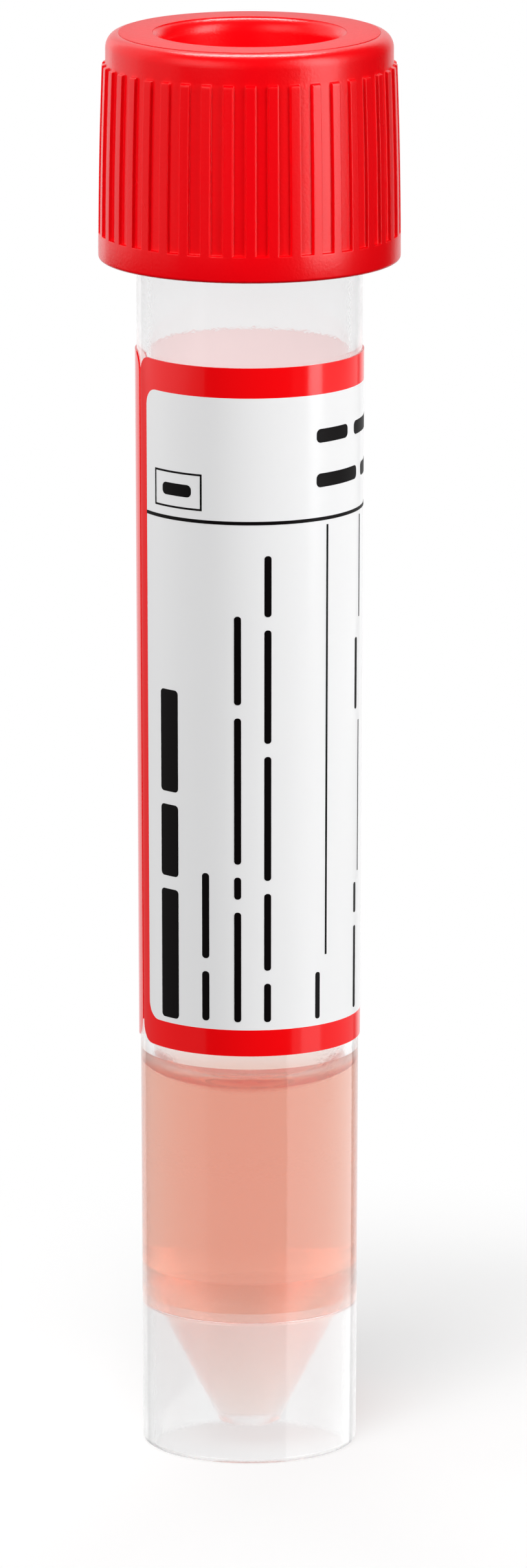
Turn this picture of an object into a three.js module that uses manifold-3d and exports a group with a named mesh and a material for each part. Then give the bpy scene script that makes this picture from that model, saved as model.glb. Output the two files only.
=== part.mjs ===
// A self-standing specimen tube with a ribbed screw cap, a wrapped label and a fill of
// transport medium. Millimetres, +Z up. The origin is the centre of the ring that the
// tube stands on.
import * as THREE from 'three';
import { mergeVertices } from 'three/addons/utils/BufferGeometryUtils.js';
import Module from 'manifold-3d';

// ---- Driving dimensions -------------------------------------------------------------

// Tube body
const tubeHeight = 100;
const baseRadius = 7.66; // outside, where it stands
const neckRadius = 8.03; // outside, under the cap
const tubeWall = 0.9;
const footRound = 0.3;
const mouthRound = 0.35;

// Conical bottom, held up inside the skirt
const coneTop = 11.1; // height at which the cone leaves the skirt
const tipHeight = 1.6; // clearance under the tip
const tipRadius = 2;
const tipRound = 0.6;
const crotchRound = 0.25;

// Thread around the neck
const threadPitch = 3.2;
const threadTurns = 1.75;
const threadDepth = 0.7;
const threadRootWidth = 1.6;
const threadCrestWidth = 0.7;
const threadBelowMouth = 2.4; // mouth to the middle of the highest turn

// Screw cap
const capHeight = 16.15;
const capTop = 2.2; // thickness over the mouth
const capWall = 1.62; // at the hem
const capSeatGap = 0.3;
const capThreadGap = 0.35;
const capBarrel = 0.27; // how far the side leans in towards the top
const hemHeight = 1.9;
const hemRound = 0.25;
const boreLeadIn = 0.4;
const shoulderReach = 0.9;
const shoulderDrop = 1.1;

// Grip ribs on the cap
const ribCount = 41;
const ribWidth = 0.7;
const ribDepth = 0.25;
const ribTopDrop = 2.2; // cap top down to the ends of the ribs
const ribBevel = 0.25;
const ribSink = 0.4; // how far a rib is rooted in the wall and the hem
const ribTurn = 0.45; // degrees from the front to the nearest rib

// Hollow plug in the middle of the cap, which reaches down into the mouth
const plugGap = 0.15;
const plugWall = 0.75;
const plugFloor = 1;
const plugTaper = 0.2;
const recessDepth = 6.5;
const recessMouthFlare = 0.6;
const recessMouthDepth = 1.1;

// Label
const labelBottom = 30.1;
const labelTop = 79.87;
const labelFilm = 0.12;
const labelGap = 0.05; // to the tube, the adhesive's thickness
const labelSeamAzimuth = -73; // degrees from the front, where its ends meet
const labelSeamGap = 0.35;
const labelCornerRound = 1.4;

// Transport medium
const fillHeight = 27.2;
const fillGap = 0.05; // to the tube's wall

// Fineness of the round surfaces
const facets = 56;
const arcSteps = 3;
const threadStepsPerTurn = 28;

// ---- Worked out from them -----------------------------------------------------------

const capTopZ = tubeHeight + capSeatGap + capTop;
const capHemZ = capTopZ - capHeight;
const mouthInnerRadius = neckRadius - tubeWall;
const threadCrestRadius = neckRadius + threadDepth;
const boreRadius = threadCrestRadius + capThreadGap;
const hemRadius = boreRadius + capWall;
const plugRadius = mouthInnerRadius - plugGap;
const facetAngle = (2 * Math.PI) / facets;

const degrees = (angle) => THREE.MathUtils.degToRad(angle);

// The body widens evenly from its foot to the hem of the cap and is straight above it.
const bodyRadiusAt = (z) => baseRadius + (neckRadius - baseRadius) * Math.min(z / capHemZ, 1);
const innerRadiusAt = (z) => bodyRadiusAt(z) - tubeWall;

// ---- Shared helpers -----------------------------------------------------------------

// A corner of an outline: radius, height and the radius of its rounding.
const corner = (r, z, round = 0) => ({ point: new THREE.Vector2(r, z), round });

// Turns corners into outline points, each rounded corner as an arc between its two edges.
function outline(corners) {
  const points = [];
  corners.forEach(({ point, round }, i) => {
    if (round === 0 || i === 0 || i === corners.length - 1) {
      points.push(point);
      return;
    }
    const back = corners[i - 1].point.clone().sub(point);
    const ahead = corners[i + 1].point.clone().sub(point);
    const halfAngle = Math.acos(back.dot(ahead) / (back.length() * ahead.length())) / 2;
    const room = 0.48 * Math.min(back.length(), ahead.length());
    const setback = Math.min(round / Math.tan(halfAngle), room);
    const radius = setback * Math.tan(halfAngle);
    const bisector = back.clone().normalize().add(ahead.clone().normalize()).normalize();
    const centre = point.clone().addScaledVector(bisector, radius / Math.sin(halfAngle));
    const from = point.clone().addScaledVector(back.normalize(), setback).sub(centre);
    const to = point.clone().addScaledVector(ahead.normalize(), setback).sub(centre);
    const sweep = Math.atan2(from.cross(to), from.dot(to));
    for (let step = 0; step <= arcSteps; step += 1) {
      const spoke = from.clone().rotateAround(new THREE.Vector2(), (sweep * step) / arcSteps);
      points.push(spoke.add(centre));
    }
  });
  return points;
}

// Turns an outline, walked from the bottom of the axis outwards and up, about Z.
function turned(points) {
  return new THREE.LatheGeometry(points, facets).rotateX(Math.PI / 2);
}

// A ring of sections, each a list of 3-D points, skinned in order and closed at both ends.
function skinned(sections) {
  const size = sections[0].length;
  const positions = sections.flat().flatMap((p) => [p.x, p.y, p.z]);
  const index = [];
  for (let s = 0; s + 1 < sections.length; s += 1) {
    for (let i = 0; i < size; i += 1) {
      const a = s * size + i;
      const b = s * size + ((i + 1) % size);
      index.push(a, b + size, b, a, a + size, b + size);
    }
  }
  const last = (sections.length - 1) * size;
  for (let i = 1; i + 1 < size; i += 1) {
    index.push(0, i, i + 1);
    index.push(last, last + i + 1, last + i);
  }
  const geometry = new THREE.BufferGeometry();
  geometry.setAttribute('position', new THREE.Float32BufferAttribute(positions, 3));
  geometry.setIndex(index);
  return geometry;
}

// A point at an azimuth from the front, positive towards +X.
function around(radius, azimuth, z) {
  return new THREE.Vector3(radius * Math.sin(azimuth), -radius * Math.cos(azimuth), z);
}

const wasm = await Module();
wasm.setup();

function toSolid(geometry) {
  const bare = geometry.clone();
  bare.deleteAttribute('normal');
  bare.deleteAttribute('uv');
  const merged = mergeVertices(bare, 1e-4);
  const corners = merged.index.array;
  const triangles = [];
  for (let i = 0; i < corners.length; i += 3) {
    const [a, b, c] = corners.slice(i, i + 3);
    if (a !== b && b !== c && c !== a) triangles.push(a, b, c);
  }
  return new wasm.Manifold(new wasm.Mesh({
    numProp: 3,
    vertProperties: new Float32Array(merged.attributes.position.array),
    triVerts: new Uint32Array(triangles),
  }));
}

function fromSolid(solid) {
  const mesh = solid.getMesh();
  const geometry = new THREE.BufferGeometry();
  geometry.setAttribute('position', new THREE.BufferAttribute(mesh.vertProperties, 3));
  geometry.setIndex(new THREE.BufferAttribute(mesh.triVerts, 1));
  geometry.computeVertexNormals();
  return geometry;
}

function part(name, geometry, look) {
  const mesh = new THREE.Mesh(geometry, new THREE.MeshStandardMaterial(look));
  mesh.name = name;
  return mesh;
}

// ---- Tube ---------------------------------------------------------------------------

// The cone's outside runs from the tip to the crotch; its inside is one wall further in.
const crotchRadius = innerRadiusAt(coneTop);
const coneSlope = (crotchRadius - tipRadius) / (coneTop - tipHeight);
const coneSkew = tubeWall * Math.hypot(1, coneSlope);
const coneInnerRadiusAt = (z) => tipRadius + coneSlope * (z - tipHeight) - coneSkew;
const wellFloor = tipHeight + tubeWall;
const bodySlope = (neckRadius - baseRadius) / capHemZ;
const wellRim = (baseRadius - tubeWall - coneInnerRadiusAt(0)) / (coneSlope - bodySlope);

function tubeThread() {
  const steps = Math.round(threadTurns * threadStepsPerTurn);
  const topMiddle = tubeHeight - threadBelowMouth;
  const runOut = threadStepsPerTurn / 8;
  const buried = neckRadius - tubeWall / 2;
  const sections = [];
  for (let step = 0; step <= steps; step += 1) {
    const azimuth = (step / threadStepsPerTurn) * 2 * Math.PI;
    const middle = topMiddle - threadPitch * (threadTurns - step / threadStepsPerTurn);
    const rise = Math.min(1, (Math.min(step, steps - step) + 0.4) / runOut);
    const crest = neckRadius + threadDepth * rise;
    sections.push([
      around(buried, azimuth, middle - threadRootWidth / 2),
      around(neckRadius, azimuth, middle - threadRootWidth / 2),
      around(crest, azimuth, middle - threadCrestWidth / 2),
      around(crest, azimuth, middle + threadCrestWidth / 2),
      around(neckRadius, azimuth, middle + threadRootWidth / 2),
      around(buried, azimuth, middle + threadRootWidth / 2),
    ]);
  }
  return skinned(sections);
}

function tubeGeometry() {
  const body = turned(outline([
    corner(0, tipHeight),
    corner(tipRadius, tipHeight, tipRound),
    corner(crotchRadius, coneTop, crotchRound),
    corner(innerRadiusAt(0), 0, footRound),
    corner(baseRadius, 0, footRound),
    corner(neckRadius, capHemZ),
    corner(neckRadius, tubeHeight, mouthRound),
    corner(mouthInnerRadius, tubeHeight, mouthRound),
    corner(mouthInnerRadius, capHemZ),
    corner(innerRadiusAt(wellRim), wellRim, crotchRound),
    corner(coneInnerRadiusAt(wellFloor), wellFloor, tipRound / 2),
    corner(0, wellFloor),
  ]));
  return fromSolid(toSolid(body).add(toSolid(tubeThread())));
}

// ---- Screw cap ----------------------------------------------------------------------

const ribTopZ = capTopZ - ribTopDrop;
const ribFootZ = capHemZ + hemHeight;

// The crests of the ribs lean in along a shallow curve, and the grooves follow them.
const crestRadiusAt = (z) => hemRadius - capBarrel * ((z - capHemZ) / (ribTopZ - capHemZ)) ** 2;
const grooveRadiusAt = (z) => crestRadiusAt(Math.min(z, ribTopZ)) - ribDepth;

const grooveHeights = [0, 1 / 3, 2 / 3, 1].map((t) => THREE.MathUtils.lerp(ribFootZ, ribTopZ, t));

function capRib() {
  const root = grooveRadiusAt(ribTopZ) - ribSink;
  const side = new THREE.Shape();
  side.moveTo(root, ribFootZ - ribSink);
  side.lineTo(grooveRadiusAt(ribFootZ), ribFootZ - ribSink);
  grooveHeights.slice(0, -1).forEach((z) => side.lineTo(crestRadiusAt(z), z));
  side.lineTo(crestRadiusAt(ribTopZ - ribBevel), ribTopZ - ribBevel);
  side.lineTo(grooveRadiusAt(ribTopZ), ribTopZ);
  side.lineTo(root, ribTopZ);
  side.closePath();
  const rib = new THREE.ExtrudeGeometry(side, { depth: ribWidth, bevelEnabled: false });
  return rib.translate(0, 0, -ribWidth / 2).rotateX(Math.PI / 2).rotateZ(-Math.PI / 2);
}

function shoulder() {
  const creaseRadius = grooveRadiusAt(ribTopZ) - shoulderReach;
  const points = [];
  for (let step = 0; step <= arcSteps; step += 1) {
    const turn = (step / arcSteps) * (Math.PI / 2);
    const r = creaseRadius + shoulderReach * Math.cos(turn);
    points.push(corner(r, capTopZ - shoulderDrop * (1 - Math.sin(turn))));
  }
  return points;
}

function capGeometry() {
  const recessFloorZ = capTopZ - recessDepth;
  const recessRadius = plugRadius - plugWall;
  const plugTipRadius = plugRadius - plugTaper;
  const plugEndZ = recessFloorZ - plugFloor;
  const underside = tubeHeight + capSeatGap;
  const body = turned(outline([
    corner(0, plugEndZ),
    corner(plugTipRadius, plugEndZ, plugWall / 2),
    corner(plugRadius, underside),
    corner(boreRadius, underside),
    corner(boreRadius, capHemZ + boreLeadIn),
    corner(boreRadius + boreLeadIn, capHemZ),
    corner(hemRadius, capHemZ, hemRound),
    corner(crestRadiusAt(ribFootZ), ribFootZ),
    ...grooveHeights.map((z) => corner(grooveRadiusAt(z), z)),
    ...shoulder(),
    corner(recessRadius + recessMouthFlare, capTopZ),
    corner(recessRadius, capTopZ - recessMouthDepth),
    corner(plugTipRadius - plugWall, recessFloorZ, plugWall / 2),
    corner(0, recessFloorZ),
  ]));
  let cap = toSolid(body);
  for (let i = 0; i < ribCount; i += 1) {
    const azimuth = degrees(ribTurn) + (i / ribCount) * 2 * Math.PI;
    cap = cap.add(toSolid(capRib().rotateZ(azimuth)));
  }
  return fromSolid(cap);
}

// ---- Label --------------------------------------------------------------------------

// The film is a band around the body whose two ends have rounded corners.
function labelGeometry() {
  const innerAt = (z) => bodyRadiusAt(z) + labelGap;
  const middleRadius = innerAt((labelBottom + labelTop) / 2);
  const start = degrees(labelSeamAzimuth) + labelSeamGap / 2 / middleRadius;
  const end = start + 2 * Math.PI - labelSeamGap / middleRadius;
  const cornerSweep = labelCornerRound / middleRadius;
  const stations = [];
  for (let step = 0; step <= arcSteps; step += 1) {
    const turn = (step / arcSteps) * (Math.PI / 2);
    const inset = cornerSweep * (1 - Math.sin(turn));
    const cut = labelCornerRound * (1 - Math.cos(Math.PI / 2 - turn));
    stations.push([start + inset, cut], [end - inset, cut]);
  }
  const first = Math.floor((start + cornerSweep) / facetAngle) + 1;
  for (let k = first; k * facetAngle < end - cornerSweep; k += 1) {
    stations.push([k * facetAngle, 0]);
  }
  stations.sort((one, other) => one[0] - other[0]);
  return skinned(stations.map(([azimuth, cut]) => {
    const low = labelBottom + cut;
    const high = labelTop - cut;
    return [
      around(innerAt(low), azimuth, low),
      around(innerAt(low) + labelFilm, azimuth, low),
      around(innerAt(high) + labelFilm, azimuth, high),
      around(innerAt(high), azimuth, high),
    ];
  }));
}

// ---- Transport medium ---------------------------------------------------------------

function mediumGeometry() {
  const wallRadiusAt = (z) => innerRadiusAt(z) - fillGap;
  const floor = wellFloor + fillGap;
  return turned(outline([
    corner(0, floor),
    corner(coneInnerRadiusAt(wellFloor) - fillGap, floor, tipRound / 2),
    corner(wallRadiusAt(wellRim), wellRim + fillGap, crotchRound),
    corner(wallRadiusAt(fillHeight), fillHeight),
    corner(0, fillHeight),
  ]));
}

// ---- Assembly -----------------------------------------------------------------------

const tube = part('tube', tubeGeometry(), { color: 0xe9ecec, roughness: 0.35, metalness: 0 });
const cap = part('screw_cap', capGeometry(), { color: 0xe60a12, roughness: 0.4, metalness: 0 });
const label = part('label', labelGeometry(), { color: 0xf4f4f4, roughness: 0.3, metalness: 0 });
const medium = part('transport_medium', mediumGeometry(), {
  color: 0xe89a80, roughness: 0.1, metalness: 0,
});

const specimenTube = new THREE.Group();
specimenTube.name = 'specimen_tube';
specimenTube.add(tube, cap, label, medium);

export default specimenTube;
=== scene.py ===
"""Looks of a self-standing specimen tube: the moulded tube with its threaded neck, the ribbed screw
cap, the printed label wrapped around it, and the pink transport medium inside.

Lengths are in millimetres in the sizes and outlines below, and in metres in the meshes."""

import math

import bpy
import numpy as np
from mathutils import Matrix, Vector


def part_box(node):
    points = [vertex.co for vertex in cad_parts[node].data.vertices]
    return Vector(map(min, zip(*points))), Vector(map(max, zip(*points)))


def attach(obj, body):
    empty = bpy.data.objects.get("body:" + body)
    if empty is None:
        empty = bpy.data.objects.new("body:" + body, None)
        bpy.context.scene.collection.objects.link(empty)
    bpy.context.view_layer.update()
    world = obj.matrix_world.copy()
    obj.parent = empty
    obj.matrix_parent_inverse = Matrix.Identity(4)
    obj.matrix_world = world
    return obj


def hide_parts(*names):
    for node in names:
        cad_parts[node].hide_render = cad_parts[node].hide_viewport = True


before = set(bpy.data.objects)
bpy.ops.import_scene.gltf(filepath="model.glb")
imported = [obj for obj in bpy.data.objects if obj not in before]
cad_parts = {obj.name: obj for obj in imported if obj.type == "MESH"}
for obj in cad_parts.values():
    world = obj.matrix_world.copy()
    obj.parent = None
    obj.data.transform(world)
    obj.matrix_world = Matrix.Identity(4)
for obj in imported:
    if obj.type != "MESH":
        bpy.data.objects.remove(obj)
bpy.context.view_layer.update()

MM = 0.001

# ---- Sizes ----------------------------------------------------------------------------------

# Tube body
TUBE_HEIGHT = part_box("tube")[1].z / MM
CAP_HEM_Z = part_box("screw_cap")[0].z / MM
CAP_TOP_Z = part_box("screw_cap")[1].z / MM
BASE_RADIUS = 7.66
NECK_RADIUS = 8.03
TUBE_WALL = 0.9
FOOT_ROUND = 0.3
MOUTH_ROUND = 0.35
NECK_ROW_SPACING = 0.12

# Conical bottom inside the skirt
CONE_TOP = 11.1
TIP_HEIGHT = 1.6
TIP_RADIUS = 2.0
TIP_ROUND = 0.6
CROTCH_ROUND = 0.25
WELL_RIM_ROUND = 0.5
# How far inside the skirt's inner face a milky face may lie
SKIRT_MARGIN = 0.05

# Threads of the neck and of the cap, one between the other's turns
THREAD_PITCH = 3.2
NECK_THREAD_TURNS = 1.75
NECK_THREAD_DEPTH = 0.68
NECK_THREAD_DROP = 2.4
NECK_THREAD_TOP = TUBE_HEIGHT - NECK_THREAD_DROP
CAP_THREAD_TURNS = 1.9
CAP_THREAD_DEPTH = 0.6
THREAD_ROOT_WIDTH = 1.6
THREAD_CREST_WIDTH = 0.7
THREAD_RUN_OUT = math.radians(35)

# Screw cap
HEM_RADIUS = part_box("screw_cap")[1].x / MM
BORE_RADIUS = 9.08
CAP_BARREL = 0.27
HEM_HEIGHT = 1.9
HEM_ROUND = 0.25
BORE_LEAD_IN = 0.4
BORE_ROUND = 0.2
BORE_ROW_SPACING = 0.3
SEAT_GAP = 0.3
UNDERSIDE_Z = TUBE_HEIGHT + SEAT_GAP
PLUG_FILLET = 0.1
SHOULDER_REACH = 0.90
SHOULDER_DROP = 1.1
# The flat ring on top stands this far above the shoulder
PAD_RISE = 0.05
# Its edge: (distance inwards from the shoulder, drop below the ring)
PAD_EDGE = ((0.02, PAD_RISE), (0.03, 0.01), (0.05, 0))
# The crisp lip where the flat ring meets the recess
LIP_STEP = 0.07
LIP_WIDTH = 0.03

# Grip ribs
RIB_COUNT = 41
RIB_WIDTH = 0.7
RIB_DEPTH = 0.25
RIB_TOP_DROP = 2.2
RIB_TOP_Z = CAP_TOP_Z - RIB_TOP_DROP
RIB_FOOT_Z = CAP_HEM_Z + HEM_HEIGHT
RIB_CREST_ROUND = 0.05
RIB_FOOT_ROUND = 0.05
RIB_DRAFT = 0.03
RIB_TURN = math.radians(0.45)
# How a rib grows out of the hem: (rise above its foot, share of the groove's depth)
RIB_FOOT_ROWS = (
    (-0.04, 0), (-0.01, 0.06), (0, 0.2), (0.005, 0.8), (0.015, 0.94), (0.04, 1), (0.12, 1))
# How a rib ends at its top: (drop below its end, share of the rib's height)
RIB_END_ROWS = (
    (0.3, 1), (0.15, 1), (0.11, 0.95), (0.08, 0.82), (0.03, 0.2), (0.015, 0.06), (-0.02, 0),
    (-0.1, 0))
WELD_DISTANCE = 0.002

# Hollow plug, and the recess inside it
PLUG_RADIUS = 6.98
PLUG_WALL = 0.75
PLUG_FLOOR = 1.0
PLUG_TAPER = 0.2
PLUG_ROUND = 0.4
RECESS_DEPTH = 6.5
FLARE_WIDTH = 0.6
FLARE_DEPTH = 1.1
FLARE_EDGE = math.radians(20)

# Label
LABEL_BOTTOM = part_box("label")[0].z / MM
LABEL_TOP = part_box("label")[1].z / MM
LABEL_FILM = 0.12
LABEL_SINK = 0.01
LABEL_SEAM = math.radians(-73)
LABEL_SEAM_GAP = 0.3
LABEL_CORNER = 1.4
PANEL_LEFT_MARGIN = 1.13
PANEL_RIGHT_MARGIN = 3.2
PANEL_TOP_MARGIN = 2.16
PANEL_BOTTOM_MARGIN = 1.91
PANEL_CORNER = 1.25
COLUMN_SPACING = 0.3

# Print: bars stand for words. A box or bar is (left, right, lowest, highest).
INK_LIFT = 0.015
WORD_ROUND = 0.3
WORD_GAP = 0.95
# The rule across the panel: (lowest, highest)
CROSS_RULE = (68.63, 68.88)
SMALL_BOX = (-7.75, -3.45, 69.5, 72.14)
SMALL_BOX_STROKE = 0.14
SMALL_BOX_WORD = (-6.9, -4.3, 70.38, 71.27)
SHORT_WORD_ROUND = 0.35
# Lines of words that run up the tube: (left, right, lowest, word lengths)
WORD_LINES = (
    (-7.20, -5.50, 32.4, (9.4, 5.2, 7.4)),
    (-3.50, -2.95, 32.6, (3.6, 6.2)),
    (-1.10, -0.60, 32.6, (8.0, 1.6, 10.6, 6.4)),
    (1.05, 1.55, 32.6, (2.8, 5.6, 9.0, 8.2, 4.4)),
    (5.05, 5.45, 32.5, (3.4,)),
    (9.55, 9.95, 32.5, (6.0, 2.2)),
    (9.55, 9.95, 54.3, (5.2,)),
)
# Lines to write on: (middle, lowest, highest)
WRITE_IN_LINES = ((6.0, 37.1, 68.3), (10.4, 42.4, 53.4), (10.4, 60.9, 68.3))
WRITE_IN_HALF_WIDTH = 0.085
# Words that run round the tube: (lowest, highest, word lengths), from one left edge
ROUND_LINES_LEFT = 5.0
ROUND_LINES = ((74.23, 75.22, (3.2, 5.4)), (71.03, 72.02, (4.6, 3.0)))

# Transport medium: its middle lies below the fill height, and its rim climbs the wall above it
FILL_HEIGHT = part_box("transport_medium")[1].z / MM
LEVEL_DROP = 1.35
CAPILLARY_LENGTH = 2.7
WALL_SLOPE = math.radians(70)
WETTED_OVERLAP = 0.02

# Points round a turned piece
STATIONS = 192

# ---- Materials and studio: values -----------------------------------------------------------

PLASTIC_IOR = 1.49
FILM_IOR = 1.5
MEDIUM_IOR = 1.335
# The span of a noise's values that the colour and roughness ranges use
NOISE_LOW, NOISE_HIGH = 0.3, 0.7
# How much rougher the cap's flat ring is than its sides, and how far below it that fades in
PITTED_ROUGHENING = 0.24
PITTED_FROM, PITTED_FULL = 0.03, 0.01
# Share of a lamp's light that goes through clear plastic or liquid to what is behind
LAMP_SHARE = 0.90
# Unevenness of moulded plastic's tint and of the film's roughness
TINT_SPREAD = 0.015
FILM_ROUGHNESS_SPREAD = 0.04
# Height over which the clear wall's roughness changes above the cone
POLISH_FADE = 4

# The studio's tone by azimuth in degrees, 0 in front of the object and positive towards +X
SWEEP_TONES = ((-180, 0.95), (-150, 0.95), (-144, 0.02), (140, 0.02), (156, 0.95), (180, 0.95))

# Floor, in metres: its shading fades out between these distances from the object
FLOOR_HALF_SIZE = 6.0
FLOOR_SHADE_NEAR, FLOOR_SHADE_FAR = 0.045, 0.080
FLOOR_SHADE_SHARE = 0.9
FLOOR_OWN_TONE = 0.40

# Lamps, in metres
GLOSS_DISTANCE = 0.35
FILL_DISTANCE = 1.30
SHADE_RADIANCE = 6.3
SKY_RADIANCE = 0.75

# Camera: lens in millimetres, place in metres, tilt down in radians
CAMERA_LENS = 298.55
CAMERA_SHIFT = 0.0089
CAMERA_PLACE = (0, -0.90647, 0.24805)
CAMERA_TILT = 0.217

# Light crosses up to a dozen walls of clear plastic, so it needs more bounces than usual
CLEAR_BOUNCES = 32


def body_radius_at(z):
    """Outside radius of the tube's body, which widens evenly from the foot to the cap's hem."""
    return BASE_RADIUS + (NECK_RADIUS - BASE_RADIUS) * min(z / CAP_HEM_Z, 1)


def inner_radius_at(z):
    """Inside radius of the tube's body and of its skirt."""
    return body_radius_at(z) - TUBE_WALL


# ---- Mesh helpers ---------------------------------------------------------------------------


def outline(*corners, steps=8):
    """Corners (radius, height, rounding) as a list of points, each rounded corner as an arc."""
    points = []
    places = [Vector(c[:2]) for c in corners]
    for i, place in enumerate(places):
        rounding = corners[i][2] if len(corners[i]) > 2 else 0
        if not rounding:
            points.append(place)
            continue
        back, ahead = places[i - 1] - place, places[i + 1] - place
        half = back.angle(ahead) / 2
        setback = min(rounding / math.tan(half), 0.48 * min(back.length, ahead.length))
        radius = setback * math.tan(half)
        inwards = (back.normalized() + ahead.normalized()).normalized()
        centre = place + inwards * (radius / math.sin(half))
        start = place + back.normalized() * setback - centre
        stop = place + ahead.normalized() * setback - centre
        sweep = math.atan2(start.cross(stop), start.dot(stop))
        for step in range(steps + 1):
            turn = sweep * step / steps
            points.append(centre + Vector((
                start.x * math.cos(turn) - start.y * math.sin(turn),
                start.x * math.sin(turn) + start.y * math.cos(turn))))
    return points


def around(radius, azimuth, z):
    """A point in metres at an azimuth from the front, positive towards +X."""
    return (radius * math.sin(azimuth) * MM, -radius * math.cos(azimuth) * MM, z * MM)


def new_piece(name, vertices, faces, material, sharp=35):
    """A piece from its mesh. Edges that bend by more than sharp degrees stay crisp."""
    mesh = bpy.data.meshes.new(name)
    mesh.from_pydata(vertices, [], faces)
    mesh.validate()
    mesh.shade_smooth()
    mesh.set_sharp_from_angle(angle=math.radians(sharp))
    mesh.materials.append(material)
    piece = bpy.data.objects.new(name, mesh)
    bpy.context.collection.objects.link(piece)
    return piece


def turned(name, points, material, shape=None):
    """An outline that starts and ends on the axis, walked outwards and up, turned about Z.

    shape(point, azimuth) may give another radius at each place."""
    first, *rows, last = points
    vertices = [around(0, 0, first[1]), around(0, 0, last[1])]
    for row in rows:
        for k in range(STATIONS):
            azimuth = 2 * math.pi * k / STATIONS
            vertices.append(around(shape(row, azimuth) if shape else row[0], azimuth, row[1]))
    faces = []
    for k in range(STATIONS):
        here, beside = 2 + k, 2 + (k + 1) % STATIONS
        faces.append((0, beside, here))
        for row in range(len(rows) - 1):
            low, high = row * STATIONS, (row + 1) * STATIONS
            faces.append((low + here, low + beside, high + beside, high + here))
        top = (len(rows) - 1) * STATIONS
        faces.append((1, top + here, top + beside))
    return new_piece(name, vertices, faces, material)


def evenly(low, high, step):
    """Values from low to high, about step apart, both ends included."""
    return np.linspace(low, high, max(2, round((high - low) / step) + 1))


def smooth_step(value):
    """0 below 0, 1 above 1, and an even S-curve between."""
    t = min(max(value, 0), 1)
    return t * t * (3 - 2 * t)


def thread_height(azimuth, z, start_z, turns, depth):
    """Height of a right-hand thread's ridge at a place, 0 between its turns."""
    height = 0
    for lap in range(math.ceil(turns) + 1):
        along = azimuth % (2 * math.pi) + 2 * math.pi * lap
        total = 2 * math.pi * turns
        if along > total:
            continue
        off_centre = abs(z - start_z - THREAD_PITCH * along / (2 * math.pi))
        flank_width = (THREAD_ROOT_WIDTH - THREAD_CREST_WIDTH) / 2
        flank = (THREAD_ROOT_WIDTH / 2 - off_centre) / flank_width
        run_out = min(1, along / THREAD_RUN_OUT, (total - along) / THREAD_RUN_OUT)
        height = max(height, depth * smooth_step(flank) * smooth_step(run_out))
    return height


# ---- Materials ------------------------------------------------------------------------------


class Shader:
    """A material's node tree, with short ways to add and join nodes."""

    def __init__(self, name):
        self.material = bpy.data.materials.new(name)
        self.material.use_nodes = True
        self.tree = self.material.node_tree
        self.tree.nodes.clear()
        self.output = self.add("ShaderNodeOutputMaterial")

    def add(self, kind, values=None, **settings):
        node = self.tree.nodes.new(kind)
        for key, value in settings.items():
            setattr(node, key, value)
        for key, value in (values or {}).items():
            node.inputs[key].default_value = value
        return node

    def join(self, source, target):
        self.tree.links.new(source, target)

    def group(self, tree, values):
        return self.add("ShaderNodeGroup", values, node_tree=tree)


def plastic_grain():
    """Shader group: fine moulded grain as a normal, with a mask of slow colour variation."""
    tree = bpy.data.node_groups.new("plastic_grain", "ShaderNodeTree")
    face = tree.interface
    for name, value in (("Grain Scale", 4000.0), ("Grain Height", 0.00001), ("Flow Scale", 60.0)):
        face.new_socket(name, in_out="INPUT", socket_type="NodeSocketFloat").default_value = value
    face.new_socket("Normal", in_out="OUTPUT", socket_type="NodeSocketVector")
    face.new_socket("Flow", in_out="OUTPUT", socket_type="NodeSocketFloat")
    nodes, links = tree.nodes, tree.links
    source, sink = nodes.new("NodeGroupInput"), nodes.new("NodeGroupOutput")
    place = nodes.new("ShaderNodeTexCoord")
    grain, flow = nodes.new("ShaderNodeTexNoise"), nodes.new("ShaderNodeTexNoise")
    grain.inputs["Detail"].default_value = 3
    flow.inputs["Detail"].default_value = 2
    stretch = nodes.new("ShaderNodeMapping")
    stretch.inputs["Scale"].default_value = (1, 1, 0.25)
    bump = nodes.new("ShaderNodeBump")
    links.new(place.outputs["Object"], grain.inputs["Vector"])
    links.new(place.outputs["Object"], stretch.inputs["Vector"])
    links.new(stretch.outputs["Vector"], flow.inputs["Vector"])
    links.new(source.outputs["Grain Scale"], grain.inputs["Scale"])
    links.new(source.outputs["Flow Scale"], flow.inputs["Scale"])
    links.new(grain.outputs["Fac"], bump.inputs["Height"])
    links.new(source.outputs["Grain Height"], bump.inputs["Distance"])
    links.new(bump.outputs["Normal"], sink.inputs["Normal"])
    links.new(flow.outputs["Fac"], sink.inputs["Flow"])
    return tree


GRAIN = plastic_grain()


def noise_range(shader, low, high):
    """Maps a noise's usual span onto a range."""
    return shader.add("ShaderNodeMapRange", {
        "From Min": NOISE_LOW, "From Max": NOISE_HIGH, "To Min": low, "To Max": high})


def ramp(shader, factor, *stops):
    """A colour ramp with stops (place, colour)."""
    node = shader.add("ShaderNodeValToRGB")
    elements = node.color_ramp.elements
    while len(elements) < len(stops):
        elements.new(0.5)
    for element, (place, colour) in zip(elements, stops):
        element.position = place
        element.color = (*colour, 1)
    shader.join(factor, node.inputs["Fac"])
    return node.outputs["Color"]


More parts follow.
